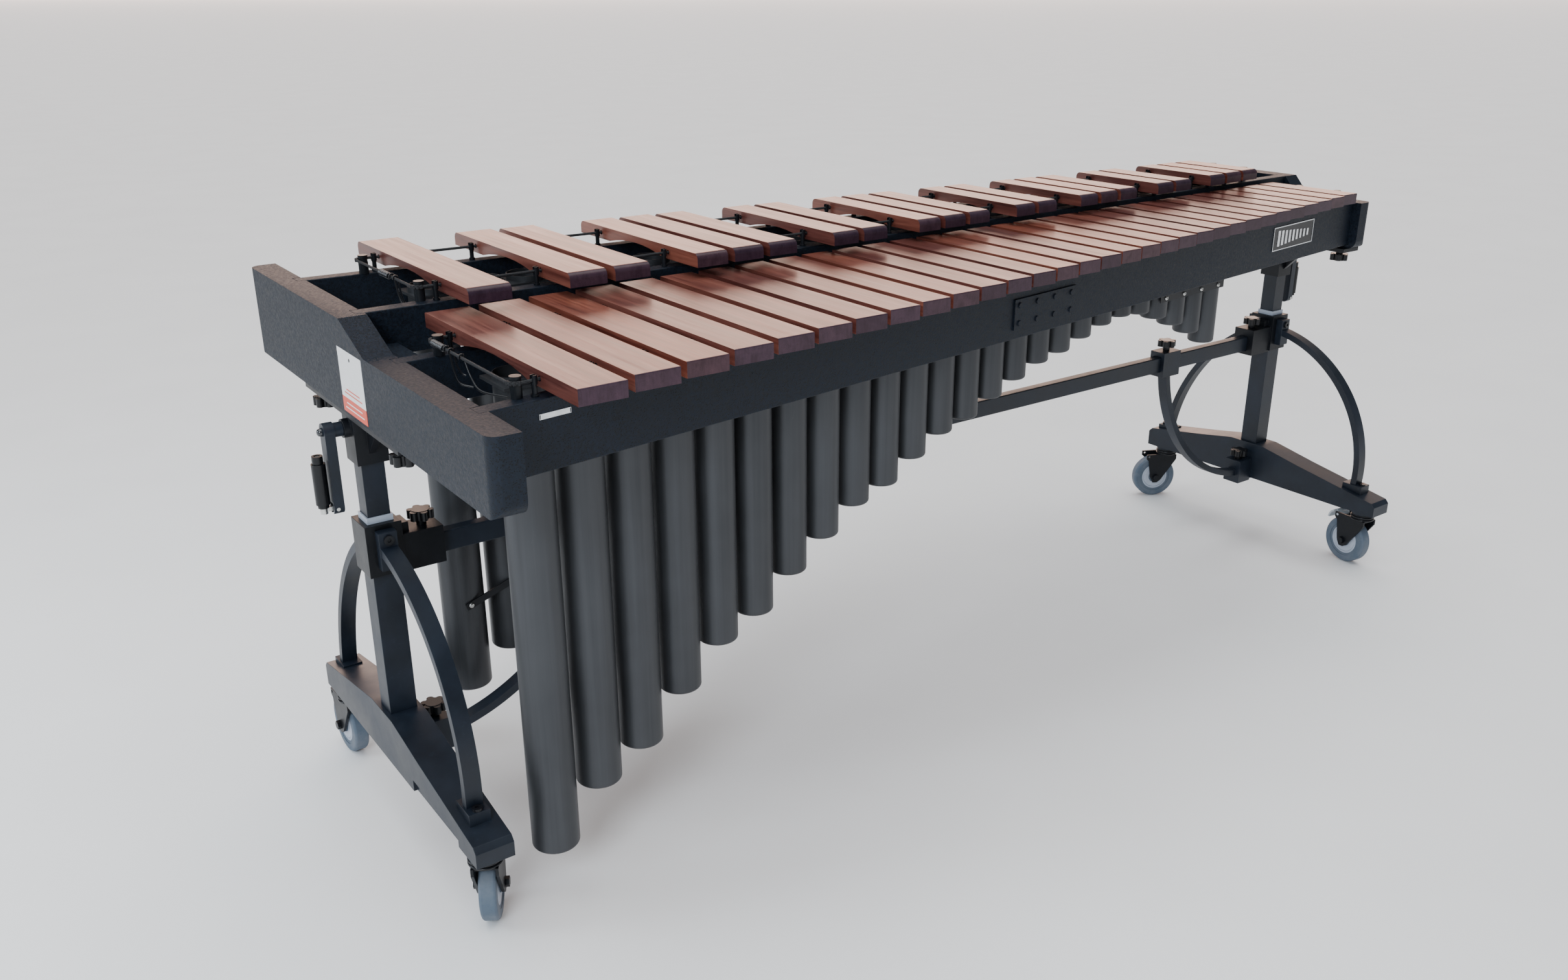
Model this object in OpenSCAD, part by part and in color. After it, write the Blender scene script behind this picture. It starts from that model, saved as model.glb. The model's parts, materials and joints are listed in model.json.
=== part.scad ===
// Concert marimba on a height-adjustable rolling stand.
// X runs along the instrument from the low end (-X) to the high end (+X).
// The player stands on the -Y side, Z is up, and the wheels stand on Z = 0.

/* [Frame] */
// Length over the outer faces of the two end panels
frame_length = 2088; // [2060:1:2140]
// Width of the low end panel, front to back
low_width = 862; // [856:1:880]
// Height of the natural bar tops at the lowest setting
play_height = 795; // [790:1:820]
// Upward travel of the playing frame
lift_travel = 200; // [120:10:200]
// Thickness of the end panels
panel_t = 38; // [30:1:44]
// Thickness of the four rails
rail_t = 25; // [18:1:28]

/* [Bars] */
// Width of the lowest bar
bar_w_low = 61; // [58:0.5:62]
// Width of the bars in the upper octaves
bar_w_high = 44.5; // [42:0.5:46]
// Gap between bars at the low end
gap_low = 15; // [14:0.5:16]
// Gap between bars at the high end
gap_high = 11; // [10:0.5:12]
// Bar thickness
bar_t = 20; // [18:0.5:22]
// Height of the accidental bars above the naturals
accidental_rise = 36; // [34:1:40]

/* [Resonators] */
// Length that the tuned part of the lowest tube adds to the base length
tube_scale = 651; // [600:1:655]
// Base length of every tube
tube_base = 25; // [20:1:30]
// Wall thickness of the tubes
tube_wall = 1.6; // [1:0.1:2.5]

/* [Stand] */
// Distance of each post from the middle of the instrument
post_x = 1011; // [1009:1:1013]
// Outer size of the square outer posts
post_size = 40; // [38:1:42]
// Wheel diameter
wheel_d = 100; // [90:1:102]
// Wheel width
wheel_w = 26; // [22:1:28]

/* [Hidden] */
$fn = 48;
naturals = 31;
taper_bars = 18;
bar_x0 = -frame_length/2 + 110;
nodal = 0.224;
rail_top = play_height - bar_t - 9;
upper_top = rail_top + 35;
panel_bottom = rail_top - 94;
rail_h = 87;
inner_rail_h = 62;
post_y = 77;
cord_r = 2;
cord_hole_r = 3.6;
split_x = -24;
sharps = [for (i = [0:naturals-2]) if (i%7 != 1 && i%7 != 4) i];
steps = [0, 2, 3, 5, 7, 8, 10];
foot_bottom = 126;
foot_w = 54;
beam_z = 432;
beam_h = 32;
beam_w = 20;
trail = 28;
crank_z = 640;
arm_len = 106;
pedal_u = 48;
pedal_z = 103;

function knob_y(side) = side < 0 ? -112 : -60;

function taper(i) = pow(max(0, 1 - i/taper_bars), 2);
function nat_w(i) = bar_w_high + (bar_w_low - bar_w_high)*taper(i);
function nat_gap(i) = gap_low + (gap_high - gap_low)*i/(naturals - 1);
function nat_x(i) = i == 0 ? bar_x0 : nat_x(i-1) + nat_w(i-1) + nat_gap(i-1);
function nat_xc(i) = nat_x(i) + nat_w(i)/2;
function acc_xc(i) = nat_x(i) + nat_w(i) + nat_gap(i)/2;
function acc_w(i) = (nat_w(i) + nat_w(i+1))/2;
function pitch(i) = nat_w(i) + nat_gap(i);
function nat_front(x) = -421.5 + 0.158*(x - bar_x0);
function nat_back(x) = 13.5 + 0.030*(x - bar_x0);
function acc_front(x) = -48.5 + 0.055*(x - bar_x0);
function acc_back(x) = 384.5 - 0.125*(x - bar_x0) + 0.0000204*pow(x - bar_x0, 2);
function acc_back_line(x) = 384.5 - 0.0873*(x - bar_x0);
function line_a(x) = nat_front(x) + nodal*(nat_back(x) - nat_front(x));
function line_b(x) = nat_back(x) - nodal*(nat_back(x) - nat_front(x));
function line_c(x) = acc_front(x) + nodal*(acc_back_line(x) - acc_front(x));
function line_d(x) = acc_back_line(x) - nodal*(acc_back_line(x) - acc_front(x));
function rail_y(k, x) = k == 0 ? line_a(x) : k == 1 ? line_b(x) : k == 2 ? line_c(x) : line_d(x);
function semitone(i) = 12*floor(i/7) + steps[i%7];
function tuned(n) = tube_scale*pow(2, -n/12) + tube_base;
function show_len(i) = 132 + 16*(i - 20) + 1.8*pow(i - 20, 2);
function nat_len(i) = i >= 20 && i < 25 ? show_len(i) : tuned(semitone(i));
function acc_len(i) = tuned((semitone(i) + semitone(i+1))/2);

// ---------- helpers ----------

// Children are drawn for the low end, or mirrored to the high end.
module at_end(side) {
    if (side < 0) children();
    else mirror([1, 0, 0]) children();
}

// A box given by its two corners.
module span(a, b) {
    translate(a) cube([b[0]-a[0], b[1]-a[1], b[2]-a[2]]);
}

// A flat arc of rectangular section in the XY plane, width w centred on Z = 0.
module arc_bar(r, t, w, from, to) {
    rotate([0, 0, from]) rotate_extrude(angle = to - from, $fn = 96)
        translate([r - t/2, -w/2]) square([t, w]);
}

// A rod between two points.
module rod(a, b, r) {
    d = b - a;
    l = norm(d);
    translate(a) rotate([0, acos(d[2]/l), atan2(d[1], d[0])]) cylinder(h = l, r = r, $fn = 24);
}

// A strip along rail line k between two X stations.
module strip(k, xa, xb, t, z, h) {
    translate([0, 0, z]) linear_extrude(h) polygon([
        [xa, rail_y(k, xa) - t/2], [xb, rail_y(k, xb) - t/2],
        [xb, rail_y(k, xb) + t/2], [xa, rail_y(k, xa) + t/2]]);
}

// Star knob, head up, clamping face at Z = 0, with a stud below it.
module star_knob(stud) {
    color([0.07, 0.07, 0.08]) {
        cylinder(h = 9, d = 14);
        translate([0, 0, 8]) cylinder(h = 14, d = 26);
        for (a = [30:60:330]) rotate([0, 0, a]) translate([13.5, 0, 8.6]) cylinder(h = 12.8, d = 11);
        translate([0, 0, -stud]) cylinder(h = stud + 2, d = 8);
    }
}

// ---------- casters ----------

// Stem position and resting trail direction of each wheel.
corners = [[-post_x, -212, 60], [post_x, -212, 82], [-post_x, 316, 92], [post_x, 316, 150]];

module at_caster(c) {
    translate([corners[c][0], corners[c][1], 0]) rotate([0, 0, corners[c][2]]) children();
}

module caster_fork(c) {
    half = wheel_w/2 + 1.5;
    axle_z = wheel_d/2;
    color([0.1, 0.1, 0.11]) at_caster(c) {
        translate([0, 0, 106]) cylinder(h = 13.6, d = 44);
        cylinder_stem();
        for (s = [-1, 1]) translate([0, s > 0 ? half + 4 : -half, 0]) rotate([90, 0, 0])
            linear_extrude(4) difference() {
                polygon([[-20, 107], [-20, 96], [trail - 12, axle_z - 8], [trail - 4, axle_z - 14],
                    [trail + 6, axle_z - 14], [trail + 13, axle_z], [trail + 20, 92], [pedal_u + 6, 97],
                    [pedal_u + 6, 108], [16, 109]]);
                translate([pedal_u, pedal_z]) circle(d = 5.12);
            }
        translate([trail, half + 6, axle_z]) rotate([90, 0, 0]) cylinder(h = 2*half + 12, d = 10);
        for (s = [-1, 1]) translate([trail, s > 0 ? half + 10 : -half - 4, axle_z]) rotate([90, 0, 0])
            cylinder(h = 6, d = 15, $fn = 6);
        span([-16, -half - 4, 102], [22, half + 4, 107]);
    }
}

module cylinder_stem() {
    translate([0, 0, 118]) cylinder(h = 27, d = 10);
}

module caster_wheel(c) {
    at_caster(c) translate([trail, 0, wheel_d/2]) rotate([90, 0, 0]) {
        color([0.36, 0.42, 0.49]) rotate_extrude($fn = 96) difference() {
            union() {
                translate([36, -wheel_w/2 + 1]) square([9, wheel_w - 2]);
                translate([40, -wheel_w/2 + 5]) square([wheel_d/2 - 40, wheel_w - 10]);
                for (s = [-1, 1]) translate([wheel_d/2 - 5, s*(wheel_w/2 - 6)]) circle(r = 5, $fn = 32);
            }
            translate([0, -wheel_w]) square([36, 2*wheel_w]);
        }
        color([0.72, 0.74, 0.76]) rotate_extrude($fn = 96) union() {
            translate([5.06, -wheel_w/2]) square([9, wheel_w]);
            translate([12, -5]) square([22, 10]);
            translate([31, -wheel_w/2 + 2]) square([5, wheel_w - 4]);
        }
    }
}

module brake_pedal(c) {
    half = wheel_w/2 + 1;
    color([0.72, 0.74, 0.75]) at_caster(c) translate([pedal_u, 0, pedal_z]) {
        rotate([90, 0, 0]) translate([0, 0, -half - 5]) cylinder(h = 2*half + 10, d = 5);
        difference() {
            union() {
                rotate([90, 0, 0]) translate([0, 0, -half]) cylinder(h = 2*half, d = 10);
                rotate([0, -41, 0]) span([0, -half + 1, -2], [11, half - 1, 2]);
                translate([-0.5, 0, -11]) rotate([90, 0, 0]) arc_bar(20, 3.5, 44, 0, 65);
            }
            translate([-0.5, 0, -11]) rotate([90, 0, 0]) for (a = [14:16:46]) rotate([0, 0, a])
                translate([21.2, -1, -17]) cube([2, 2, 34]);
        }
    }
}

// ---------- stand ----------

module foot_profile() {
    polygon([[-250, foot_bottom], [-250, 148], [-243, 156], [-60, 188], [26, 205], [36, 207], [118, 207],
        [130, 205], [200, 192], [344, 168], [352, 160], [352, foot_bottom]]);
}

module foot_solid() {
    translate([-post_x - foot_w/2, 0, 0]) rotate([90, 0, 90]) linear_extrude(foot_w) foot_profile();
}

module foot(side) {
    color([0.12, 0.13, 0.15]) at_end(side) {
        difference() {
            foot_solid();
            span([-post_x - post_size/2, post_y - post_size/2, 150],
                [-post_x + post_size/2, post_y + post_size/2, 220]);
            for (y = [-212, 316]) translate([-post_x, y, 100]) cylinder(h = 48, d = 10.12);
            span([-post_x - foot_w/2 - 1, -190, foot_bottom - 1], [-post_x - foot_w/2 + 5, -30, 144]);
        }
        for (y = [-212, 316]) translate([-post_x, y, 120]) difference() {
            cylinder(h = foot_bottom - 120, d = 46);
            translate([0, 0, -1]) cylinder(h = 10, d = 10.12);
        }
    }
}

module outer_post(side) {
    h = post_size/2;
    color([0.1, 0.11, 0.12]) at_end(side) {
        difference() {
            span([-post_x - h, post_y - h, 150], [-post_x + h, post_y + h, 500]);
            span([-post_x - 16.5, post_y - 16.5, 154], [-post_x + 16.5, post_y + 16.5, 501]);
        }
        translate([-post_x, post_y, 154]) difference() {
            cylinder(h = 316, d = 22);
            translate([0, 0, -1]) cylinder(h = 291, d = 15);
            translate([0, 0, 280]) cylinder(h = 40, d = 12.12);
        }
    }
}

module collar_solid() {
    h = post_size/2;
    span([-post_x - h - 6, post_y - h - 8, 427], [-post_x + h + 6, post_y + h + 8, 503]);
}

module collar(side) {
    h = post_size/2;
    color([0.09, 0.09, 0.1]) at_end(side) difference() {
        union() {
            collar_solid();
            span([-post_x + h + 5, post_y - 24, 424], [-925, post_y + 24, 480]);
            span([-post_x + h + 5, post_y - 16, 479], [-972, post_y + 16, 494]);
        }
        span([-post_x - h, post_y - h, 420], [-post_x + h, post_y + h, 500]);
        span([-post_x - 17, post_y - 17, 499], [-post_x + 17, post_y + 17, 510]);
        span([-978, post_y - beam_w/2, beam_z], [-900, post_y + beam_w/2, beam_z + beam_h]);
        translate([-948, post_y, beam_z + beam_h - 1]) cylinder(h = 60, d = 8.12);
    }
}

module arches(side) {
    color([0.11, 0.12, 0.14]) at_end(side) difference() {
        union() {
            translate([-post_x, 0, 0]) rotate([90, 0, 90]) {
                translate([82.5, 203.4, 0]) arc_bar(269, 13, 24, 98, 188);
                translate([-68.5, 122.5, 0]) arc_bar(384, 13, 24, 7, 63);
            }
            span([-post_x - 13, 34, 440], [-post_x + 13, post_y - 20, 496]);
            span([-post_x - 13, post_y + 20, 440], [-post_x + 13, 120, 496]);
            span([-post_x - 15, -208, 150], [-post_x + 15, -164, 180]);
            span([-post_x - 15, 290, 150], [-post_x + 15, 334, 180]);
        }
        foot_solid();
        collar_solid();
    }
}

module brace(side) {
    color([0.1, 0.1, 0.12]) at_end(side) difference() {
        union() {
            translate([-990, post_y, 468]) rotate([90, 0, 0]) arc_bar(328, 13, 22, 276, 353);
            span([-690, post_y - 18, 422], [-638, post_y + 18, 474]);
            span([-984, post_y - 20, 120], [-942, post_y + 20, 172]);
            span([-1000, post_y - 14, 120], [-950, post_y + 14, foot_bottom]);
        }
        span([-720, post_y - beam_w/2, beam_z], [-600, post_y + beam_w/2, beam_z + beam_h]);
        translate([-664, post_y, beam_z + beam_h - 1]) cylinder(h = 60, d = 8.12);
        translate([-960, post_y, 151]) cylinder(h = 60, d = 8.12);
    }
}

module cross_beam() {
    color([0.09, 0.09, 0.1])
        span([-978, post_y - beam_w/2, beam_z], [978, post_y + beam_w/2, beam_z + beam_h]);
}

// Button screws: arch tops, arch feet.
module stand_screws() {
    color([0.2, 0.2, 0.21]) for (side = [-1, 1]) at_end(side) {
        translate([-post_x, 34, 485]) rotate([90, 0, 0]) screw_head();
        translate([-post_x, 120, 485]) rotate([-90, 0, 0]) screw_head();
        translate([-post_x, -200.5, 180]) screw_head();
        translate([-post_x, 326, 180]) screw_head();
    }
}

module screw_head() {
    difference() {
        cylinder(h = 4, d = 14);
        translate([0, 0, 2]) cylinder(h = 4, d = 6, $fn = 6);
    }
}

// ---------- lift ----------

module inner_post(side) {
    color([0.13, 0.14, 0.16]) at_end(side) difference() {
        span([-post_x - 16, post_y - 16, 216], [-post_x + 16, post_y + 16, 622]);
        span([-post_x - 13, post_y - 13, 210], [-post_x + 13, post_y + 13, 614]);
        translate([-post_x, post_y, 600]) cylinder(h = 40, d = 12.12);
    }
}

module lift_screw(side) {
    color([0.6, 0.6, 0.58]) at_end(side) translate([-post_x, post_y, 0]) {
        translate([0, 0, 232]) cylinder(h = 396, d = 12);
        translate([0, 0, 622.3]) cylinder(h = 5, d = 22);
        translate([0, 0, 627]) cylinder(h = 5, r1 = 11, r2 = 7);
    }
}

// The crank shaft and its bevel pinion, the boss and the arm.
module crank(side) {
    color([0.11, 0.12, 0.14]) at_end(side) translate([-post_x, post_y, crank_z]) {
        rotate([0, -90, 0]) translate([0, 0, 9]) cylinder(h = 48, d = 10);
        rotate([0, -90, 0]) translate([0, 0, 9]) cylinder(h = 5, r1 = 5, r2 = 8);
        rotate([0, -90, 0]) translate([0, 0, 31.3]) cylinder(h = 12, d = 20);
        difference() {
            union() {
                span([-57, -11, -arm_len], [-43, 11, 0]);
                translate([-57, 0, 0]) rotate([0, 90, 0]) cylinder(h = 14, d = 24);
                translate([-57, 0, -arm_len]) rotate([0, 90, 0]) cylinder(h = 14, d = 22);
            }
            translate([-58, -4.2, -arm_len - 12]) cube([10.8, 8.4, 18]);
            translate([-52, -12, -arm_len - 2]) rotate([-90, 0, 0]) cylinder(h = 24, d = 5.1);
        }
        translate([-58.5, 0, 0]) rotate([0, 90, 0]) cylinder(h = 3, d = 12);
    }
}

// The folding link that carries the grip: a lug, its pin and the spindle.
module grip_pivot(side) {
    color([0.3, 0.3, 0.31]) at_end(side) translate([-post_x, post_y, crank_z - arm_len - 2]) {
        translate([-52, -12, 0]) rotate([-90, 0, 0]) cylinder(h = 24, d = 5);
        translate([-52, -4, 0]) rotate([-90, 0, 0]) cylinder(h = 8, d = 7.5);
        span([-66, -3.5, -3], [-52, 3.5, 3]);
        translate([-68, 0, -4]) cylinder(h = 80, d = 6);
        translate([-68, 0, -6]) cylinder(h = 8, d = 10);
    }
}

module grip(side) {
    color([0.06, 0.06, 0.07]) at_end(side) translate([-post_x - 68, post_y, crank_z - arm_len - 2])
        rotate_extrude($fn = 48) union() {
            translate([3.06, 3]) square([4.4, 70]);
            translate([3.06, 8]) square([6.4, 58]);
            translate([4, 73]) square([3.4, 4]);
        }
}

module bracket(side) {
    color([0.09, 0.1, 0.11]) at_end(side) difference() {
        union() {
            span([-1042, knob_y(side) - 30, panel_bottom - 8], [-990, 222, panel_bottom]);
            span([-post_x - 22, post_y - 22, 590], [-post_x + 22, post_y + 22, panel_bottom - 7]);
            for (s = [-1, 1]) translate([-post_x - 5, post_y, 0]) rotate([90, 0, 90]) linear_extrude(10)
                polygon([[s*21, panel_bottom - 7], [s*80, panel_bottom - 7],
                    [s*72, panel_bottom - 16], [s*21, 604]]);
            translate([-post_x - 31, post_y, crank_z]) rotate([0, 90, 0]) cylinder(h = 12, d = 26);
        }
        span([-post_x - 16, post_y - 16, 580], [-post_x + 16, post_y + 16, 622]);
        span([-post_x - 15, post_y - 15, 621], [-post_x + 15, post_y + 15, panel_bottom - 10]);
        translate([-post_x - 40, post_y, crank_z]) rotate([0, 90, 0]) cylinder(h = 30, d = 10.12);
        for (y = [knob_y(side), 190]) translate([-1024, y, panel_bottom - 20]) cylinder(h = 30, d = 8.12);
    }
}

// ---------- knobs ----------

// Head down under the bracket, stud up into the end panel.
module panel_knob(side, y) {
    at_end(side) translate([-1024, y, panel_bottom - 8.3]) mirror([0, 0, 1]) star_knob(34);
}

module beam_knob(side) {
    at_end(side) translate([-948, post_y, 480.3]) star_knob(16);
}

module brace_knob(side) {
    at_end(side) translate([-664, post_y, 474.3]) star_knob(10);
}

module foot_knob(side) {
    at_end(side) translate([-960, post_y, 172.3]) star_knob(20);
}

// ---------- end panels ----------

// Side outline of an end panel, as Y and Z: front end, step, back end.
module panel_profile(yf, y2, y1, yb) {
    r = 18;
    difference() {
        polygon([[yf, panel_bottom], [yb, panel_bottom], [yb, upper_top],
            [y1, upper_top], [y2, rail_top], [yf, rail_top]]);
        translate([yf, panel_bottom]) difference() {
            translate([-1, -1]) square(r + 1);
            translate([r, r]) circle(r = r);
        }
        translate([yb, panel_bottom]) difference() {
            translate([-r, -1]) square(r + 1);
            translate([-r, r]) circle(r = r);
        }
    }
}

// Plan outline with the two outer corners rounded.
module panel_plan(yf, yb) {
    r = 16;
    xo = -frame_length/2;
    difference() {
        translate([xo, yf]) square([panel_t, yb - yf]);
        translate([xo, yf]) difference() {
            translate([-1, -1]) square(r + 1);
            translate([r, r]) circle(r = r);
        }
        translate([xo, yb]) difference() {
            translate([-1, -r]) square(r + 1);
            translate([r, -r]) circle(r = r);
        }
    }
}

module end_panel(side, yf, y2, y1, yb) {
    color([0.1, 0.11, 0.13]) difference() {
        at_end(side) intersection() {
            translate([-frame_length/2 - 1, 0, 0]) rotate([90, 0, 90]) linear_extrude(panel_t + 2)
                panel_profile(yf, y2, y1, yb);
            translate([0, 0, panel_bottom - 1]) linear_extrude(150) panel_plan(yf, yb);
        }
        rail_bodies();
        for (y = [knob_y(side), 190]) at_end(side) translate([-1024, y, panel_bottom - 1])
            cylinder(h = 30, d = 8.12);
    }
}

module low_end_panel() {
    end_panel(-1, -low_width/2, -58, 25, low_width/2);
}

module high_end_panel() {
    end_panel(1, -104, 48, 80, 268);
}

// ---------- rails ----------

rail_end = frame_length/2 - panel_t + 12;

module rail_body(k) {
    z = k < 2 ? rail_top : upper_top;
    h = k == 0 ? rail_h : k == 3 ? rail_h - 12 : inner_rail_h;
    strip(k, -rail_end, split_x, rail_t, z - h, h);
    strip(k, split_x, rail_end, rail_t, z - h, h);
}

module rail_bodies() {
    for (k = [0:3]) rail_body(k);
}

module rail(k) {
    color([0.1, 0.11, 0.13]) rail_body(k);
}

// A plate over the joint of each rail, with its screws.
module rail_splices() {
    color([0.09, 0.1, 0.11]) {
        front_splice();
        for (k = [1:3]) inner_splice(k);
    }
}

module front_splice() {
    y0 = line_a(split_x) - rail_t/2;
    a = atan2(line_a(split_x + 100) - line_a(split_x), 100);
    translate([split_x, y0, rail_top - 48]) rotate([0, 0, a]) {
        span([-78, -3, -24], [78, -0.02, 24]);
        for (x = [-66, -22, 22, 66], z = [-14, 14]) translate([x, -3, z]) rotate([90, 0, 0])
            cylinder(h = 2, d = 9);
    }
}

module inner_splice(k) {
    z = (k < 2 ? rail_top : upper_top) - 34;
    y0 = rail_y(k, split_x) + (k == 1 ? -1 : 1)*rail_t/2;
    a = atan2(rail_y(k, split_x + 100) - rail_y(k, split_x), 100);
    translate([split_x, y0, z]) rotate([0, 0, a]) {
        if (k == 1) span([-60, -3, -20], [60, -0.02, 20]);
        else span([-60, 0.02, -20], [60, 3, 20]);
    }
}

// ---------- pegs ----------

function peg_x_nat(i) = i < naturals ? nat_x(i) - nat_gap(max(0, i-1))/2
    : nat_x(naturals-1) + nat_w(naturals-1) + gap_high/2;
function peg_x_acc(i) = acc_xc(sharps[i]) - acc_w(sharps[i])/2 - nat_gap(sharps[i])/2;
acc_last = len(sharps) - 1;
acc_last_x = acc_xc(sharps[acc_last]) + acc_w(sharps[acc_last])/2 + gap_high/2;
nat_last_x = peg_x_nat(naturals);
post_gap = 19;

module peg(k, x) {
    z0 = k < 2 ? rail_top : upper_top;
    cz = cord_z(k);
    translate([x, rail_y(k, x), z0]) {
        cylinder(h = 3, d = 9);
        cylinder(h = cz + 6 - z0, d = 6.4);
        translate([0, 0, cz - 5 - z0]) cylinder(h = 11, d = 8.4);
    }
}

function cord_z(k) = k < 2 ? play_height - bar_t/2 : play_height + accidental_rise - bar_t/2;

// Inward side of a rail line: towards the middle of its bars.
function inward(k) = k == 0 || k == 2 ? 1 : -1;

module end_post(k, x) {
    z0 = k < 2 ? rail_top : upper_top;
    cz = cord_z(k);
    translate([x, rail_y(k, x) + inward(k)*9.3, z0]) {
        cylinder(h = cz - 3.2 - z0, d = 14);
        cylinder(h = cz + 6 - z0, d = 13);
        translate([0, 0, cz + 2.8 - z0]) cylinder(h = 4, d = 14);
    }
}

module cord_slots() {
    for (k = [0:3]) strip(k, -rail_end, rail_end, 2*cord_r + 0.8, cord_z(k) - cord_r - 0.4, 30);
}

module bar_pegs() {
    color([0.06, 0.06, 0.07]) {
        difference() {
            union() {
                for (k = [0, 1], i = [0:naturals]) peg(k, peg_x_nat(i));
                for (k = [2, 3], i = [0:acc_last]) peg(k, peg_x_acc(i));
                for (k = [2, 3]) peg(k, acc_last_x);
            }
            cord_slots();
        }
        for (k = [0, 1]) {
            end_post(k, peg_x_nat(0) - post_gap);
            end_post(k, nat_last_x + post_gap);
        }
        for (k = [2, 3]) {
            end_post(k, peg_x_acc(0) - post_gap);
            end_post(k, acc_last_x + post_gap);
        }
    }
}

// ---------- bars ----------

// Side outline of a bar, as Y and Z: arched underneath, front top edge rounded.
module bar_profile(l, r, depth) {
    c = 0.46*l;
    ar = (c*c/4 + depth*depth)/(2*depth);
    difference() {
        union() {
            square([l, bar_t - r]);
            translate([r, 0]) square([l - 2*r, bar_t]);
            for (y = [r, l - r]) translate([y, bar_t - r]) circle(r = r, $fn = 40);
        }
        translate([l/2, depth - ar]) circle(r = ar, $fn = 160);
    }
}

module bar(xc, w, y0, y1, z, r, depth) {
    translate([xc - w/2, y0, z]) rotate([90, 0, 90]) linear_extrude(w) bar_profile(y1 - y0, r, depth);
}

module cord_bore(k) {
    rod([-rail_end, rail_y(k, -rail_end), cord_z(k)],
        [rail_end, rail_y(k, rail_end), cord_z(k)], cord_hole_r);
}

function arch_depth(x) = 4 + 7*(1 - (x - bar_x0)/frame_length);

module natural_bars() {
    color([0.5, 0.27, 0.2]) difference() {
        for (i = [0:naturals-1]) bar(nat_xc(i), nat_w(i), nat_front(nat_xc(i)), nat_back(nat_xc(i)),
            play_height - bar_t, 1.5, arch_depth(nat_xc(i)));
        cord_bore(0);
        cord_bore(1);
    }
}

module accidental_bars() {
    color([0.47, 0.24, 0.18]) difference() {
        for (i = sharps) bar(acc_xc(i), acc_w(i), acc_front(acc_xc(i)), acc_back(acc_xc(i)),
            play_height + accidental_rise - bar_t, 9, arch_depth(acc_xc(i)));
        cord_bore(2);
        cord_bore(3);
    }
}

// ---------- suspension cords ----------

// Corner of a cord round an end post, as points a, between and b.
function bend(k, x, s) = [for (t = [0:30:90]) [
    x + s*9.3*sin(t),
    rail_y(k, x) + inward(k)*9.3*(1 - cos(t)),
    cord_z(k)]];

function rev(p) = [for (i = [len(p)-1:-1:0]) p[i]];

// Open route: from one spring end round the loop to the other spring end.
function cord_route(ka, kb, xl, xh, ys0, ys1) = concat(
    [[xl - 9.3, ys0, cord_z(ka)]],
    rev(bend(ka, xl, -1)), bend(ka, xh, 1), rev(bend(kb, xh, 1)), bend(kb, xl, -1),
    [[xl - 9.3, ys1, cord_z(ka)]]);

// Point a moved by t towards point b.
function nearer(a, b, t) = a + t*(b - a)/norm(b - a);

module cord(route) {
    last = len(route) - 2;
    for (i = [0:last]) rod(nearer(route[i], route[i+1], i > 0 ? 1 : 0),
        nearer(route[i+1], route[i], i < last ? 1 : 0), cord_r);
    for (i = [1:last]) translate(route[i]) translate([0, 0, -cord_r - 0.3])
        cylinder(h = 2*cord_r + 0.6, r = cord_r + 0.3);
}

nat_post_x = peg_x_nat(0) - post_gap;
acc_post_x = peg_x_acc(0) - post_gap;
nat_spring_y = -120;
acc_spring_y = 160;
spring_len = 34;

module natural_cord() {
    color([0.03, 0.03, 0.03]) cord(cord_route(0, 1, nat_post_x, nat_last_x + post_gap,
        nat_spring_y - spring_len/2, nat_spring_y + spring_len/2));
}

module accidental_cord() {
    color([0.03, 0.03, 0.03]) cord(cord_route(2, 3, acc_post_x, acc_last_x + post_gap,
        acc_spring_y - spring_len/2, acc_spring_y + spring_len/2));
}

// Close-wound tension spring across the low end of each cord loop.
module spring(x, y, z) {
    turns = 15;
    wire = spring_len/turns;
    for (i = [0:turns-1]) translate([x, y - spring_len/2 + wire*(i + 0.5), z]) rotate([90, 0, 0])
        rotate_extrude($fn = 32) translate([3.4, 0]) circle(r = wire*0.52, $fn = 16);
}

module cord_springs() {
    color([0.75, 0.75, 0.76]) {
        spring(nat_post_x - 9.3, nat_spring_y, cord_z(0));
        spring(acc_post_x - 9.3, acc_spring_y, cord_z(2));
    }
}

// ---------- resonators ----------

// Closed-bottom tube hanging from its open top at Z = 0.
module tube(r, l) {
    e = 5;
    translate([0, 0, -l]) rotate_extrude($fn = 64) difference() {
        union() {
            translate([0, e]) square([r, l - e]);
            square([r - e, l]);
            translate([r - e, e]) circle(r = e, $fn = 32);
        }
        translate([0, 3]) square([r - tube_wall, l]);
        translate([-2*r, -1]) square([2*r, l + 2]);
    }
}

function tube_r(i) = 0.435*pitch(i);
function nat_mid(x) = (nat_front(x) + nat_back(x))/2;
function acc_mid(x) = (acc_front(x) + acc_back(x))/2;
nat_tube_top = play_height - bar_t - 14;
acc_tube_top = play_height + accidental_rise - bar_t - 14;

// Plate that holds the tubes of one bank; the tubes pass through it.
module bank_plate(xs, ys, rs, z) {
    n = len(xs) - 1;
    difference() {
        translate([0, 0, z]) linear_extrude(4) polygon(concat(
            [for (i = [0:n]) [xs[i], ys[i] - rs[i] - 3]],
            [[xs[n] + rs[n] + 3, ys[n] - rs[n] - 3], [xs[n] + rs[n] + 3, ys[n] + rs[n] + 3]],
            [for (i = [n:-1:0]) [xs[i], ys[i] + rs[i] + 3]],
            [[xs[0] - rs[0] - 3, ys[0] + rs[0] + 3], [xs[0] - rs[0] - 3, ys[0] - rs[0] - 3]]));
        for (i = [0:n]) translate([xs[i], ys[i], z - 1]) cylinder(h = 6, r = rs[i] + 0.05, $fn = 64);
    }
}

module natural_resonators() {
    color([0.16, 0.17, 0.18]) for (i = [0:naturals-1])
        translate([nat_xc(i), nat_mid(nat_xc(i)), nat_tube_top]) tube(tube_r(i), nat_len(i));
}

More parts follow.
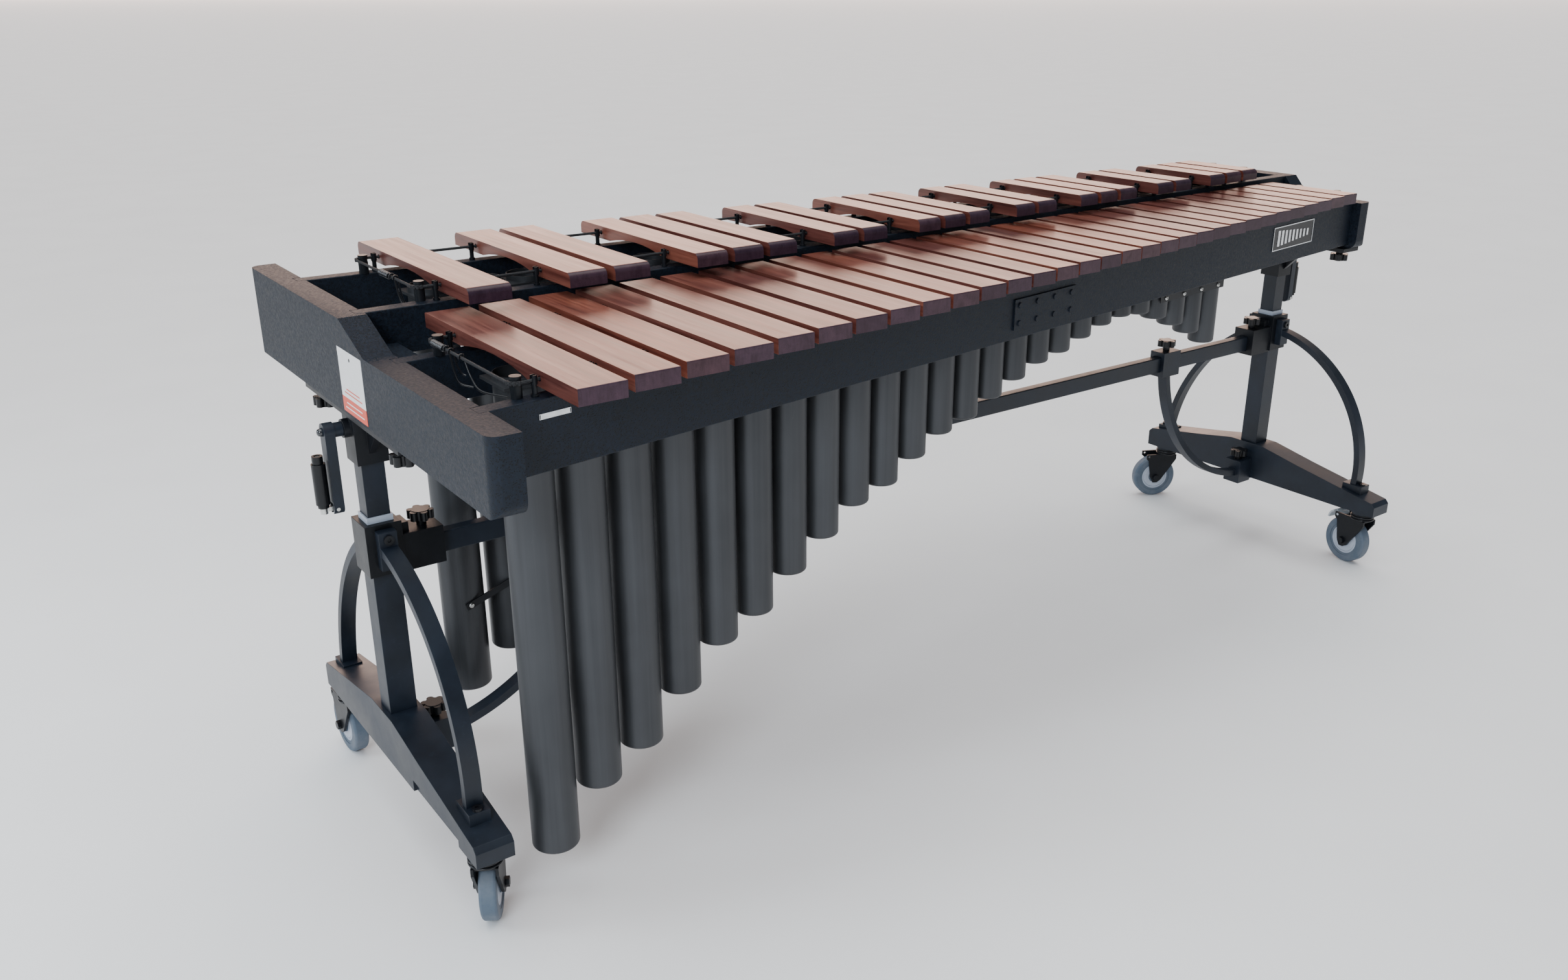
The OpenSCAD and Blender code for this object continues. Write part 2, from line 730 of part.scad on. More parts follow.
module accidental_resonators() {
    color([0.16, 0.17, 0.18]) for (i = [0:naturals-2])
        translate([acc_xc(i), acc_mid(acc_xc(i)), acc_tube_top]) tube(tube_r(i), acc_len(i));
}

module bank_plates() {
    m = naturals - 2;
    color([0.16, 0.17, 0.18]) {
        bank_plate([for (i = [0:m+1]) nat_xc(i)], [for (i = [0:m+1]) nat_mid(nat_xc(i))],
            [for (i = [0:m+1]) tube_r(i)], nat_tube_top - 12);
        bank_plate([for (i = [0:m]) acc_xc(i)], [for (i = [0:m]) acc_mid(acc_xc(i))],
            [for (i = [0:m]) tube_r(i)], acc_tube_top - 12);
    }
}

// ---------- nodes ----------

caster_fork(0);  // caster_fork_fl
caster_fork(1);  // caster_fork_fr
caster_fork(2);  // caster_fork_bl
caster_fork(3);  // caster_fork_br
caster_wheel(0);  // caster_wheel_fl
caster_wheel(1);  // caster_wheel_fr
caster_wheel(2);  // caster_wheel_bl
caster_wheel(3);  // caster_wheel_br
brake_pedal(0);  // brake_pedal_fl
brake_pedal(1);  // brake_pedal_fr
crank(-1);  // crank_low
crank(1);  // crank_high
grip_pivot(-1);  // grip_pivot_low
grip_pivot(1);  // grip_pivot_high
grip(-1);  // grip_low
grip(1);  // grip_high
lift_screw(-1);  // lift_screw_low
lift_screw(1);  // lift_screw_high
panel_knob(-1, knob_y(-1));  // panel_knob_low_front
panel_knob(-1, 190);  // panel_knob_low_back
panel_knob(1, knob_y(1));  // panel_knob_high_front
panel_knob(1, 190);  // panel_knob_high_back
beam_knob(-1);  // beam_knob_low
beam_knob(1);  // beam_knob_high
brace_knob(-1);  // brace_knob_low
brace_knob(1);  // brace_knob_high
foot_knob(-1);  // foot_knob_low
foot_knob(1);  // foot_knob_high
foot(-1);  // foot_low
foot(1);  // foot_high
outer_post(-1);  // outer_post_low
outer_post(1);  // outer_post_high
collar(-1);  // collar_low
collar(1);  // collar_high
arches(-1);  // arches_low
arches(1);  // arches_high
brace(-1);  // brace_low
brace(1);  // brace_high
cross_beam();
stand_screws();
inner_post(-1);  // inner_post_low
inner_post(1);  // inner_post_high
bracket(-1);  // bracket_low
bracket(1);  // bracket_high
low_end_panel();
high_end_panel();
rail(0);  // front_rail
rail(1);  // natural_inner_rail
rail(2);  // accidental_inner_rail
rail(3);  // back_rail
rail_splices();
bar_pegs();
natural_bars();
accidental_bars();
natural_cord();
accidental_cord();
cord_springs();
natural_resonators();
accidental_resonators();
bank_plates();
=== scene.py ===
import json
import math
import random

import bmesh
import bpy
from mathutils import Matrix, Vector


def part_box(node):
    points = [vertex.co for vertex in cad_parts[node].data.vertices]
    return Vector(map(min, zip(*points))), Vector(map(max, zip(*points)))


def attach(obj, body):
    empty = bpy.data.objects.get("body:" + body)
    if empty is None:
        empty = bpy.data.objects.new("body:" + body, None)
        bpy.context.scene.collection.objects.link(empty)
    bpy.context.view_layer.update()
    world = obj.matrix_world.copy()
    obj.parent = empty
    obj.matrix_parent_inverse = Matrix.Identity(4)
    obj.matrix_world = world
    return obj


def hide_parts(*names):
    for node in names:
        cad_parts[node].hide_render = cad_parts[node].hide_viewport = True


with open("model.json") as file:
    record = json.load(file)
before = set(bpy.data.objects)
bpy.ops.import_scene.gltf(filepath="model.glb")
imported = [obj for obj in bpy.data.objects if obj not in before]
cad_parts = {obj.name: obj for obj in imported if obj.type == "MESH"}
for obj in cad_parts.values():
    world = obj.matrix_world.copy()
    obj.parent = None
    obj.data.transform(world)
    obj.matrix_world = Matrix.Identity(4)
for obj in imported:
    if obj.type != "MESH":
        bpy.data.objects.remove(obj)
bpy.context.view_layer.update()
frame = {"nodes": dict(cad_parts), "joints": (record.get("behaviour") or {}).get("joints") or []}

NODES = frame["nodes"]
JOINTS = {joint["name"]: joint for joint in frame["joints"]}

# ---------- camera ----------

LENS_MM = 30.32
SENSOR_MM = 36
FAR_CLIP = 500  # beyond the floor's corners
EYE = Vector((-1.5343, -1.6346, 1.1983))
YAW, PITCH, ROLL = 0.619, 0.369, -0.005


def make_camera():
    forward = Vector((math.sin(YAW) * math.cos(PITCH), math.cos(YAW) * math.cos(PITCH), -math.sin(PITCH)))
    side = Vector((math.cos(YAW), -math.sin(YAW), 0))
    up = side.cross(forward)
    right = side * math.cos(ROLL) + up * math.sin(ROLL)
    top = up * math.cos(ROLL) - side * math.sin(ROLL)
    data = bpy.data.cameras.new("camera")
    data.lens = LENS_MM
    data.sensor_width = SENSOR_MM
    data.clip_end = FAR_CLIP
    camera = bpy.data.objects.new("camera", data)
    turn = Matrix((right, top, -forward)).transposed()
    camera.matrix_world = Matrix.Translation(EYE) @ turn.to_4x4()
    bpy.context.scene.collection.objects.link(camera)
    bpy.context.scene.camera = camera


make_camera()

# ---------- material tools ----------


def scaled(colour, by):
    return tuple(by * c for c in colour)


class Paint:
    """A material and short ways to add nodes to it."""

    def __init__(self, name, rough, metal=0.0, spec=0.5, coat=0.0, coat_rough=0.1):
        self.mat = bpy.data.materials.new(name)
        self.mat.use_nodes = True
        self.tree = self.mat.node_tree
        self.bsdf = self.tree.nodes["Principled BSDF"]
        self.set("Roughness", rough)
        self.set("Metallic", metal)
        self.set("Specular IOR Level", spec)
        self.set("Coat Weight", coat)
        self.set("Coat Roughness", coat_rough)

    def set(self, name, value):
        self.put(self.bsdf.inputs[name], value)

    def put(self, socket, value):
        if isinstance(value, bpy.types.NodeSocket):
            self.tree.links.new(value, socket)
        else:
            socket.default_value = value

    def node(self, kind, inputs, **settings):
        made = self.tree.nodes.new("ShaderNode" + kind)
        for key, value in settings.items():
            setattr(made, key, value)
        for key, value in inputs.items():
            self.put(made.inputs[key], value)
        return made

    def place(self, stretch=(1, 1, 1), offset=(0, 0, 0)):
        coord = self.tree.nodes.new("ShaderNodeTexCoord").outputs["Object"]
        return self.node("Mapping", {"Vector": coord, "Scale": stretch, "Location": offset}).outputs[0]

    def noise(self, where, scale, detail=3.0, rough=0.5, warp=0.0):
        return self.node("TexNoise", {"Vector": where, "Scale": scale, "Detail": detail,
            "Roughness": rough, "Distortion": warp}).outputs["Fac"]

    def cells(self, where, scale, rand=1.0):
        inputs = {"Vector": where, "Scale": scale, "Randomness": rand}
        return self.node("TexVoronoi", inputs).outputs["Distance"]

    def ramp(self, fac, *stops):
        made = self.tree.nodes.new("ShaderNodeValToRGB")
        self.put(made.inputs["Fac"], fac)
        line = made.color_ramp
        while len(line.elements) < len(stops):
            line.elements.new(0.5)
        for element, (at, value) in zip(line.elements, stops):
            element.position = at
            element.color = (*value, 1) if isinstance(value, tuple) else (value, value, value, 1)
        return made.outputs["Color"]

    def mix(self, fac, a, b, how="MIX"):
        made = self.tree.nodes.new("ShaderNodeMix")
        made.data_type = "RGBA"
        made.blend_type = how
        self.put(made.inputs[0], fac)
        for socket, value in ((made.inputs[6], a), (made.inputs[7], b)):
            self.put(socket, (*value, 1) if isinstance(value, tuple) else value)
        return made.outputs[2]

    def cover(self, under, over, fac, start, full, most):
        """Lays one colour over another where a pattern rises from start to full."""
        return self.mix(self.ramp(fac, (start, 0.0), (full, most)), under, over)

    def math(self, how, a, b=0.5):
        made = self.tree.nodes.new("ShaderNodeMath")
        made.operation = how
        self.put(made.inputs[0], a)
        self.put(made.inputs[1], b)
        return made.outputs[0]

    def blend(self, a, share_a, b, share_b):
        """A weighted sum of two patterns."""
        return self.math("ADD", self.math("MULTIPLY", a, share_a), self.math("MULTIPLY", b, share_b))

    def bump(self, *layers):
        """Bump from (height, strength, distance) layers, each on top of the one before."""
        normal = None
        for height, strength, distance in layers:
            inputs = {"Height": height, "Strength": strength, "Distance": distance}
            if normal is not None:
                inputs["Normal"] = normal
            normal = self.node("Bump", inputs).outputs[0]
        self.set("Normal", normal)


def speckled():
    """Dark blue-black textured paint of the panels and rails, with fine black pits."""
    p = Paint("speckled_paint", 0.5, spec=0.24)
    w = p.place()
    pits = p.cells(w, 400.0)
    mottle = p.noise(w, 260.0, 4.0, 0.6)
    broad = p.noise(w, 7.0, 3.0)
    grain = p.ramp(mottle, (0.38, (0.003, 0.005, 0.009)), (0.62, (0.008, 0.014, 0.025)))
    tint = p.cover(grain, (0.006, 0.010, 0.018), broad, 0.3, 0.7, 0.6)
    patchy = p.math("MULTIPLY", p.noise(w, 75.0, 3.0, 0.7), 0.42)
    flecks = p.ramp(p.math("SUBTRACT", pits, patchy), (0.02, 1.0), (0.10, 0.0))
    p.set("Base Color", p.mix(flecks, tint, (0.0008, 0.001, 0.0015)))
    p.set("Roughness", p.ramp(mottle, (0.3, 0.42), (0.7, 0.62)))
    p.bump((mottle, 0.5, 0.0005), (p.ramp(pits, (0.1, 0.0), (0.3, 1.0)), 0.6, 0.0004))
    return p.mat


def coated(name, dark, light, rough, scale=320.0, strength=0.25, spec=0.5):
    """Powder-coated or moulded black: fine orange peel, soft dust and rubbed patches."""
    p = Paint(name, rough, spec=spec)
    w = p.place()
    peel = p.noise(w, scale, 3.0, 0.6)
    broad = p.noise(w, 9.0, 4.0, 0.6)
    dust = p.noise(w, 60.0, 5.0, 0.7)
    base = p.cover(dark, light, broad, 0.35, 0.7, 1.0)
    p.set("Base Color", p.cover(base, scaled(light, 2.2), dust, 0.6, 0.85, 0.35))
    worn = p.math("ADD", broad, p.math("MULTIPLY", dust, 0.3))
    p.set("Roughness", p.ramp(worn, (0.4, rough - 0.06), (0.9, rough + 0.1)))
    p.bump((peel, strength, 0.0003))
    return p.mat


def rosewood(end):
    """Rosewood bar. Each bar has its own tone and grain, from an attribute on its mesh. The end-grain
    version is darker, and its purple cast is a painted cool reflection.
    """
    p = Paint("rosewood_end_cool_reflection" if end else "rosewood", 0.32, spec=0.3 if end else 0.65,
        coat=0.12, coat_rough=0.22)
    tone = p.node("Attribute", {}, attribute_name="tone").outputs["Fac"]
    steps = {"X": 37.0, "Y": 91.0, "Z": 53.0}
    shift = p.node("CombineXYZ", {k: p.math("MULTIPLY", tone, far) for k, far in steps.items()}).outputs[0]
    if end:
        w = p.place(offset=shift)
        rings = p.noise(w, 55.0, 4.0, 0.6, 0.6)
        pores = p.noise(w, 900.0, 2.0, 0.6)
        fine = p.noise(p.place((300, 300, 60), shift), 1.0, 4.0, 0.65)
        # end grain: darker than the long faces, and purple (blue above red) as a painted reflection of cool
        # light
        low, mid, high = (0.024, 0.014, 0.026), (0.036, 0.022, 0.038), (0.050, 0.030, 0.048)
    else:
        rings = p.noise(p.place((26, 1.6, 26), shift), 1.6, 5.0, 0.62, 0.9)
        pores = p.noise(p.place((700, 16, 700), shift), 1.0, 3.0, 0.7)
        fine = p.noise(p.place((240, 5, 240), shift), 1.0, 4.0, 0.65)
        low, mid, high = (0.058, 0.016, 0.013), (0.136, 0.046, 0.034), (0.220, 0.086, 0.062)
    wood = p.ramp(p.blend(rings, 0.62, fine, 0.38), (0.36, low), (0.5, mid), (0.66, high))
    hue = p.ramp(tone, (0.0, (0.70, 0.58, 0.66)), (0.45, (1.0, 0.92, 0.95)), (1.0, (1.28, 1.02, 0.86)))
    wood = p.mix(1.0, wood, hue, "MULTIPLY")
    p.set("Base Color", p.cover(wood, (0.020, 0.008, 0.007), pores, 0.60, 0.70, 0.7))
    p.set("Roughness", p.ramp(fine, (0.3, 0.30), (0.7, 0.42)))
    p.set("Specular Tint", (1.0, 0.70, 0.58, 1))
    p.bump((pores, 0.12, 0.0002), (fine, 0.10, 0.0002))
    return p.mat


def anodised():
    """Satin charcoal of the resonator tubes, drawn along their length and a little scuffed."""
    p = Paint("resonator_satin", 0.42, metal=0.6, spec=0.4)
    w = p.place()
    fine = p.noise(w, 700.0, 2.0, 0.6)
    drawn = p.noise(p.place((90, 90, 2)), 1.0, 4.0, 0.6)
    broad = p.noise(w, 5.0, 3.0, 0.6)
    scuffs = p.noise(p.place((40, 40, 14)), 1.0, 6.0, 0.75)
    base = p.ramp(p.blend(drawn, 0.4, broad, 0.6),
        (0.35, (0.044, 0.046, 0.050)), (0.65, (0.070, 0.073, 0.079)))
    p.set("Base Color", p.cover(base, (0.12, 0.125, 0.13), scuffs, 0.66, 0.8, 0.3))
    p.set("Roughness", p.ramp(broad, (0.3, 0.38), (0.7, 0.5)))
    p.bump((fine, 0.16, 0.0002))
    return p.mat


def steel(name, colour, rough):
    """Brushed metal with faint stains."""
    p = Paint(name, rough, metal=1.0)
    brushed = p.noise(p.place((60, 60, 600)), 1.0, 3.0)
    stain = p.noise(p.place(), 40.0, 5.0, 0.65)
    p.set("Base Color", p.cover(colour, scaled(colour, 0.55), stain, 0.45, 0.8, 0.7))
    p.set("Roughness", p.ramp(brushed, (0.3, rough - 0.08), (0.7, rough + 0.12)))
    p.bump((brushed, 0.08, 0.0002))
    return p.mat


def rubber(name, colour, dirt):
    """Caster tyre: matt, a little dusty, scuffed grey where it rolls."""
    p = Paint(name, 0.62, spec=0.35)
    w = p.place()
    broad = p.noise(w, 34.0, 4.0, 0.6)
    fine = p.noise(w, 420.0, 3.0, 0.6)
    base = p.cover(colour, dirt, broad, 0.4, 0.75, 0.8)
    p.set("Base Color", p.cover(base, scaled(colour, 0.45), fine, 0.62, 0.8, 0.5))
    p.bump((fine, 0.3, 0.0003))
    return p.mat


def moulded(name, colour, rough=0.42):
    """Light moulded plastic or enamel, with a few dirty specks."""
    p = Paint(name, rough)
    w = p.place()
    broad = p.noise(w, 45.0, 4.0, 0.6)
    specks = p.noise(w, 260.0, 4.0, 0.7)
    base = p.cover(colour, scaled(colour, 0.8), broad, 0.4, 0.75, 0.6)
    p.set("Base Color", p.cover(base, scaled(colour, 0.35), specks, 0.66, 0.8, 0.6))
    p.bump((specks, 0.12, 0.0002))
    return p.mat


def braid():
    """Black braided cord, with painted shade in the grooves between its strands."""
    p = Paint("braided_cord", 0.7, spec=0.3)
    weave = p.cells(p.place(), 900.0, rand=0.35)
    # painted shade: colour falls from the strand crowns to near black in the grooves, where the bump is
    # lowest
    p.set("Base Color", p.ramp(weave, (0.1, (0.045, 0.046, 0.050)), (0.7, (0.008, 0.008, 0.009))))
    p.bump((p.ramp(weave, (0.0, 1.0), (0.6, 0.0)), 0.8, 0.0005))
    return p.mat


def paper(name, colour):
    """Plain card of a label, a little dirty and not quite flat."""
    p = Paint(name, 0.45, spec=0.4)
    w = p.place()
    p.set("Base Color", p.cover(colour, scaled(colour, 0.75), p.noise(w, 90.0, 5.0, 0.7), 0.5, 0.8, 0.35))
    p.bump((p.noise(w, 30.0, 2.0), 0.2, 0.0008))
    return p.mat


SPECKLED = speckled()
POWDER = coated("powder_black", (0.006, 0.009, 0.015), (0.014, 0.021, 0.034), 0.40, spec=0.36)
CAST = coated("cast_black", (0.003, 0.0036, 0.005), (0.007, 0.0085, 0.012), 0.40, 190.0, 0.45, 0.28)
PLASTIC = coated("knob_plastic", (0.003, 0.003, 0.004), (0.006, 0.0065, 0.008), 0.30, 500.0, 0.15, 0.32)
NYLON = coated("peg_nylon", (0.004, 0.005, 0.007), (0.009, 0.011, 0.014), 0.36, 600.0, 0.12, 0.25)
SCREW = coated("black_screw", (0.006, 0.006, 0.008), (0.015, 0.016, 0.018), 0.28, 500.0, 0.15, 0.35)
SLEEVE = coated("spring_black", (0.010, 0.011, 0.014), (0.030, 0.032, 0.036), 0.16, 300.0, 0.1, 0.8)
CHARCOAL = anodised()
WOOD = rosewood(False)
WOOD_END_AND_COOL_REFLECTION = rosewood(True)
ZINC = steel("zinc", (0.60, 0.60, 0.58), 0.3)
SILVER = steel("silver_foil", (0.72, 0.74, 0.76), 0.25)
TYRE = rubber("tyre_rubber", (0.095, 0.130, 0.175), (0.17, 0.19, 0.22))
HUB = moulded("hub_grey", (0.46, 0.51, 0.60))
BRAKE = moulded("brake_grey", (0.55, 0.59, 0.62), 0.38)
CORD = braid()
WHITE_CARD = paper("white_card", (0.80, 0.79, 0.78))
RED_CARD = paper("red_card", (0.72, 0.085, 0.045))

# ---------- CAD nodes that stay: finishes and softened edges ----------

FINISHES = (
    (("low_end_panel", "high_end_panel", "front_rail", "natural_inner", "accidental_inner", "back_rail",
        "rail_splices"), (SPECKLED,)),
    (("foot_low", "foot_high", "outer_post", "arches", "brace_low", "brace_high", "cross_beam",
        "inner_post", "crank"), (POWDER,)),
    (("collar", "bracket", "caster_fork"), (CAST,)),
    (("panel_knob", "beam_knob", "brace_knob", "foot_knob", "grip_low", "grip_high"), (PLASTIC,)),
    (("bar_pegs",), (NYLON,)),
    (("stand_screws",), (SCREW,)),
    (("natural_resonators", "accidental_resonators", "bank_plates"), (CHARCOAL,)),
    (("cord_springs",), (SLEEVE,)),
    (("lift_screw", "grip_pivot"), (ZINC,)),
    (("brake_pedal",), (BRAKE,)),
    (("natural_cord", "accidental_cord"), (CORD,)),
    (("caster_wheel",), (TYRE, HUB)),
)
# heads of names, bevel width in metres, bevel segments
SOFTENED = (
    (("low_end_panel", "high_end_panel"), 0.0035, 3),
    (("foot_low", "foot_high", "collar", "cross_beam", "outer_post", "inner_post", "crank"), 0.002, 2),
    (("front_rail", "natural_inner_rail", "accidental_inner_rail", "back_rail"), 0.0015, 2),
    (("bracket", "brace_low", "brace_high", "arches", "rail_splices"), 0.0012, 2),
    (("panel_knob", "beam_knob", "brace_knob", "foot_knob"), 0.0012, 2),
)
SOFT_WELD = 1e-5
SOFT_FLAT_DEG = 1.2   # faces that turn less than this become one
SOFT_EDGE_DEG = 38    # edges sharper than this are bevelled


def starts(heads):
    return [n for n in NODES if n.startswith(heads)]


def finish_node(name, mats):
    """Puts materials in a node's slots, in order; the last one fills what is left."""
    slots = NODES[name].data.materials
    for i in range(len(slots)):
        slots[i] = mats[min(i, len(mats) - 1)]
    if not len(slots):
        slots.append(mats[0])


def soften(name, width, segments):
    """Rounds a CAD node's hard edges with modifiers; its own mesh stays as packed."""
    node = NODES[name]
    weld = node.modifiers.new("weld", "WELD")
    weld.merge_threshold = SOFT_WELD
    flat = node.modifiers.new("flat", "DECIMATE")
    flat.decimate_type = "DISSOLVE"
    flat.angle_limit = math.radians(SOFT_FLAT_DEG)
    bevel = node.modifiers.new("bevel", "BEVEL")
    bevel.width = width
    bevel.segments = segments
    bevel.limit_method = "ANGLE"
    bevel.angle_limit = math.radians(SOFT_EDGE_DEG)
    bevel.harden_normals = False
    shade = node.modifiers.new("shade", "WEIGHTED_NORMAL")
    shade.keep_sharp = False


for heads, mats in FINISHES:
    for name in starts(heads):
        finish_node(name, mats)
for heads, width, segments in SOFTENED:
    for name in starts(heads):
        soften(name, width, segments)

# ---------- mesh tools ----------

SMOOTH_DEG = 40.0


def add(name, bm, mats, body, smooth_deg=SMOOTH_DEG):
    """Makes a shown piece of a bmesh, with flat faces kept flat, riding on a body."""
    mesh = bpy.data.meshes.new(name)
    limit = math.radians(smooth_deg)
    for face in bm.faces:
        face.smooth = True
    for edge in bm.edges:
        edge.smooth = len(edge.link_faces) == 2 and edge.calc_face_angle(0) < limit
    bm.to_mesh(mesh)
    bm.free()
    for mat in mats:
        mesh.materials.append(mat)
    piece = bpy.data.objects.new(name, mesh)
    bpy.context.scene.collection.objects.link(piece)
    bpy.context.view_layer.update()
    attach(piece, body)
    return piece


def new_piece(name, make, mats, body, smooth_deg=SMOOTH_DEG):
    """A piece of its own, from a function that fills a bmesh."""
    bm = bmesh.new()
    make(bm)
    bmesh.ops.remove_doubles(bm, verts=bm.verts, dist=1e-7)
    bmesh.ops.recalc_face_normals(bm, faces=bm.faces)
    return add(name, bm, mats, body, smooth_deg)


def cad_mesh(node):
    """A CAD node's mesh as a bmesh, with its doubled vertices welded."""
    bm = bmesh.new()
    bm.from_mesh(NODES[node].data)
    bmesh.ops.remove_doubles(bm, verts=bm.verts, dist=1e-6)
    return bm


def islands(bm):
    """The vertices of each separate solid, from low to high X."""
    seen = set()
    groups = []
    for start in bm.verts:
        if start in seen:
            continue
        seen.add(start)
        group = [start]
        for v in group:
            for edge in v.link_edges:
                other = edge.other_vert(v)
                if other not in seen:
                    seen.add(other)
                    group.append(other)
        groups.append(group)
    return sorted(groups, key=lambda g: min(v.co.x for v in g))


def island_boxes(node):
    """Boxes (low, high) of the separate solids of a CAD node, from low to high X."""
    bm = cad_mesh(node)
    boxes = []
    for group in islands(bm):
        spans = [[v.co[i] for v in group] for i in range(3)]
        boxes.append((Vector([min(s) for s in spans]), Vector([max(s) for s in spans])))
    bm.free()
    return boxes


def slab(bm, corners, out, index=0):
    """A closed plate: corners in order, and the vector from its back to its front."""
    back = [bm.verts.new(Vector(c)) for c in corners]
    front = [bm.verts.new(Vector(c) + Vector(out)) for c in corners]
    faces = [bm.faces.new(back[::-1]), bm.faces.new(front)]
    n = len(corners)
    for i in range(n):
        faces.append(bm.faces.new((back[i], back[(i + 1) % n], front[(i + 1) % n], front[i])))
    for face in faces:
        face.material_index = index


def circle(bm, at, radius, side, other, count):
    """Vertices round a point, in the plane of two unit vectors."""
    turns = (2 * math.pi * k / count for k in range(count))
    return [bm.verts.new(at + radius * (math.cos(a) * side + math.sin(a) * other)) for a in turns]


def skin(bm, rings, count, index=0):
    """Faces from each ring to the next; a ring of one vertex closes to a point."""
    for one, two in zip(rings, rings[1:]):
        for k in range(count):
            quad = [one[k % len(one)], one[(k + 1) % len(one)], two[(k + 1) % len(two)], two[k % len(two)]]
            face = bm.faces.new(list(dict.fromkeys(quad)))
            face.material_index = index


def smooth_path(points, steps):
    """Catmull-Rom points through the given ones."""
    pts = [Vector(p) for p in points]
    ends = [2 * pts[0] - pts[1], *pts, 2 * pts[-1] - pts[-2]]
    path = []
    for a, b, c, d in zip(ends, ends[1:], ends[2:], ends[3:]):
        for k in range(steps):
            t = k / steps
            path.append(0.5 * (2 * b + (c - a) * t + (2 * a - 5 * b + 4 * c - d) * t * t
                + (3 * b - a - 3 * c + d) * t ** 3))
    return [*path, pts[-1]]


def wire(bm, points, radius, steps, sides):
    """A closed round wire along a smooth path."""
    path = smooth_path(points, steps)
    side = None
    rings = []
    for i, at in enumerate(path):
        along = (path[min(i + 1, len(path) - 1)] - path[max(i - 1, 0)]).normalized()
        if side is None:
            side = along.orthogonal().normalized()
        side = (side - along * side.dot(along)).normalized()
        rings.append(circle(bm, at, radius, side, along.cross(side), sides))
    skin(bm, rings, sides)
    bm.faces.new(rings[0][::-1])
    bm.faces.new(rings[-1])


def lathe(bm, centre, axis, profile, sides=24, index=0):
    """Turns a profile of (radius, height) points round an axis; radius 0 is a single point."""
    axis = Vector(axis).normalized()
    side = axis.orthogonal().normalized()
    other = axis.cross(side)
    rings = []
    for r, h in profile:
        at = Vector(centre) + h * axis
        rings.append(circle(bm, at, r, side, other, sides) if r else [bm.verts.new(at)])
    skin(bm, rings, sides, index)


def torus(bm, centre, axis, ring, thick):
    turns = (2 * math.pi * k / 10 for k in range(11))
    lathe(bm, centre, axis, [(ring + thick * math.cos(a), thick * math.sin(a)) for a in turns], 32)


def screw(bm, at, axis, r, index):
    """Pan head with a recess."""
    lathe(bm, at, axis, ((0, -0.001), (r, -0.001), (r, 0.25 * r), (0.86 * r, 0.48 * r), (0.5 * r, 0.62 * r),
        (0.42 * r, 0.62 * r), (0.34 * r, 0.3 * r), (0, 0.3 * r)), 20, index)


# ---------- bars ----------

BAR_EDGE = 0.0011
END_FACE_Y, END_FACE_Z = 0.3, -0.3  # a face that leans this far out, and not down, shows end grain, with a painted cool reflection in its purple cast


def bars(name, node, seed):
    """One piece per bar node: the CAD bars, with eased edges and a tone for each bar."""
    bm = cad_mesh(node)
    tone = bm.verts.layers.float.new("tone")
    pick = random.Random(seed)
    for group in islands(bm):
        value = pick.random()
        for v in group:
            v[tone] = value
    bmesh.ops.dissolve_limit(bm, angle_limit=math.radians(1.0), verts=bm.verts, edges=bm.edges)
    limit = math.radians(40)
    sharp = [e for e in bm.edges if len(e.link_faces) == 2 and e.calc_face_angle(0) > limit]
    bmesh.ops.bevel(bm, geom=sharp, offset=BAR_EDGE, segments=2, profile=0.6,
        affect="EDGES", clamp_overlap=True)
    bm.normal_update()
    for face in bm.faces:
        end = abs(face.normal.y) > END_FACE_Y and face.normal.z > END_FACE_Z
        face.material_index = 1 if end else 0
    piece = add(name, bm, (WOOD, WOOD_END_AND_COOL_REFLECTION), "top")
    shade = piece.modifiers.new("shade", "WEIGHTED_NORMAL")
    shade.keep_sharp = True
    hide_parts(node)


bars("bars_natural", "natural_bars", 11)
bars("bars_accidental", "accidental_bars", 13)

# ---------- labels and plates ----------

RAIL_T = 0.025
PANEL_LO, PANEL_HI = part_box("low_end_panel")
RAIL_LO, RAIL_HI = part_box("front_rail")


def end_label(bm):
    """White card with a red foot, a few plain rules and a dot, on the low end panel."""
    x = PANEL_LO.x
    y0, y1 = -0.047, 0.043
    z0, z1 = PANEL_LO.z + 0.004, PANEL_LO.z + 0.090
    foot = z0 + 0.24 * (z1 - z0)
    card, ink, rule = 0.0004, 0.0002, 0.0016

    def patch(inset, low, high, base, thick, index):
        at, left, right = x - base, y1 - inset, y0 + inset
        slab(bm, ((at, left, low), (at, right, low), (at, right, high), (at, left, high)),
            (-thick, 0, 0), index)

    patch(0, z0, foot, 0, card, 1)
    patch(0, foot, z1, 0, card, 0)
    for share, inset, index in ((0.07, 0.01, 0), (0.15, 0.016, 0), (0.31, 0.012, 1), (0.37, 0.02, 1)):
        z = z0 + share * (z1 - z0)
        patch(inset, z, z + rule, card, ink, index)
    lathe(bm, (x - 0.0003, 0.5 * (y0 + y1), z1 - 0.010), (-1, 0, 0),
        ((0, 0), (0.0024, 0), (0.0024, card), (0, card)), 20, 2)


def rail_plate(bm, x0, x1, z0, z1, thick, index=0, base=0.0):
    """A flat plate on the front rail's outer face, or on something that stands base proud of it."""
    def on_rail(x, z):
        t = (x - RAIL_LO.x) / (RAIL_HI.x - RAIL_LO.x)
        return Vector((x, RAIL_LO.y + t * (RAIL_HI.y - RAIL_T - RAIL_LO.y) - base, z))

    slab(bm, (on_rail(x0, z0), on_rail(x1, z0), on_rail(x1, z1), on_rail(x0, z1)), (0, -thick, 0), index)


def rail_sticker(bm):
    """Narrow silver sticker at the low end of the front rail, with a dark rule at each end."""
    z = RAIL_HI.z - 0.024
    foil = 0.0005
    rail_plate(bm, -0.944, -0.902, z, z + 0.0065, foil)
    for x in (-0.9435, -0.9035):
        rail_plate(bm, x, x + 0.001, z + 0.0006, z + 0.0059, 0.0002, 1, foil)


